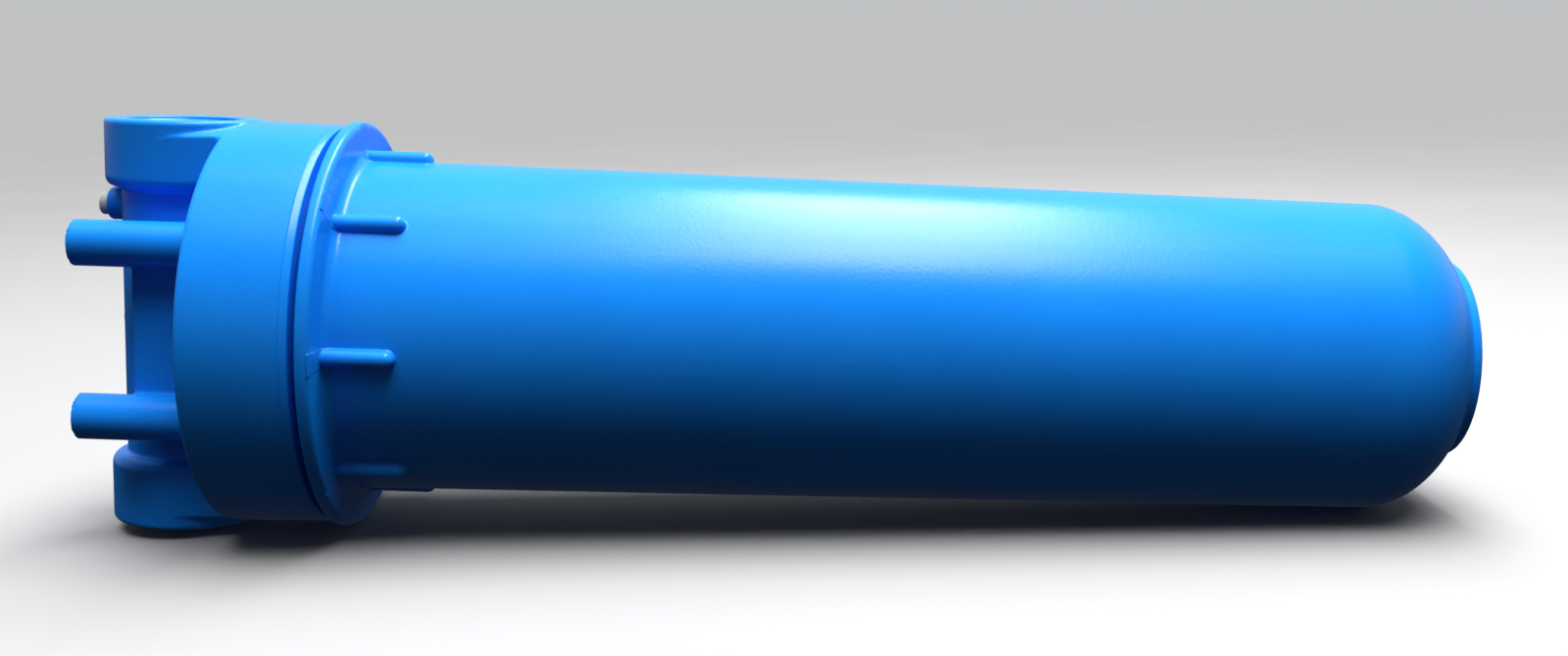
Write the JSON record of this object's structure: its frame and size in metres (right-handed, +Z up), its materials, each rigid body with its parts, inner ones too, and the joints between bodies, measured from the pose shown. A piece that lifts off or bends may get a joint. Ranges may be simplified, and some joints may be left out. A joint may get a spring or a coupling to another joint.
{
  "type": "cartridge filter housing",
  "caption": "Long screw-together cartridge filter housing lying on its side: ported cap with mounting posts and relief button, domed sump with wrench lugs, pleated cartridge inside.",
  "frame": {"origin": "middle of the bounding box, on the surface that the housing lies on", "axes": "+X from the cap towards the foot of the sump, level; +Z up, towards the inlet port; the housing's own axis falls 2.94 degrees towards +X"},
  "size_m": [0.6124, 0.1836, 0.1885],
  "materials": {
    "blue_housing": "satin, injection moulded polypropylene",
    "white_button": "satin",
    "white_plastic": "satin",
    "white_media": "non-woven polyester",
    "black_rubber": "matt",
    "stainless_steel": "bright drawn"
  },
  "bodies": {
    "cap_body": {"cap": "blue_housing", "relief_spring": "stainless_steel"},
    "relief_valve": {"relief_button": "white_button", "relief_o_ring": "black_rubber", "relief_washer": "stainless_steel", "relief_screw": "stainless_steel"},
    "cartridge": {"cartridge_gasket_upper": "black_rubber", "cartridge_gasket_lower": "black_rubber", "cartridge_end_cap_upper": "white_plastic", "cartridge_end_cap_lower": "white_plastic", "cartridge_core": "white_plastic", "cartridge_media": "white_media", "cartridge_net": "white_plastic"},
    "sump_body": {"sump": "blue_housing", "housing_o_ring": "black_rubber"}
  },
  "joints": [
    {"name": "relief_push", "type": "slide", "parent": "cap_body", "child": "relief_valve", "axis": [0.9987, 0, -0.0512], "range_m": [0, 0.003], "stiffness_N_per_m": 1500, "springref_m": -0.004, "deforming": ["relief_spring"]},
    {"name": "sump_advance", "type": "slide", "parent": "cap_body", "child": "cartridge", "axis": [0.9987, 0, -0.0512], "range_m": [0, 0.0222]},
    {"name": "sump_turn", "type": "hinge", "parent": "cartridge", "child": "sump_body", "pos_m": [0.02836, 0, 0.08056], "axis": [0.9987, 0, -0.0512], "range_deg": [0, 990]}
  ],
  "couplings": [
    {"joint": "sump_advance", "follows": "sump_turn", "m_per_rad": 0.0012732}
  ]
}
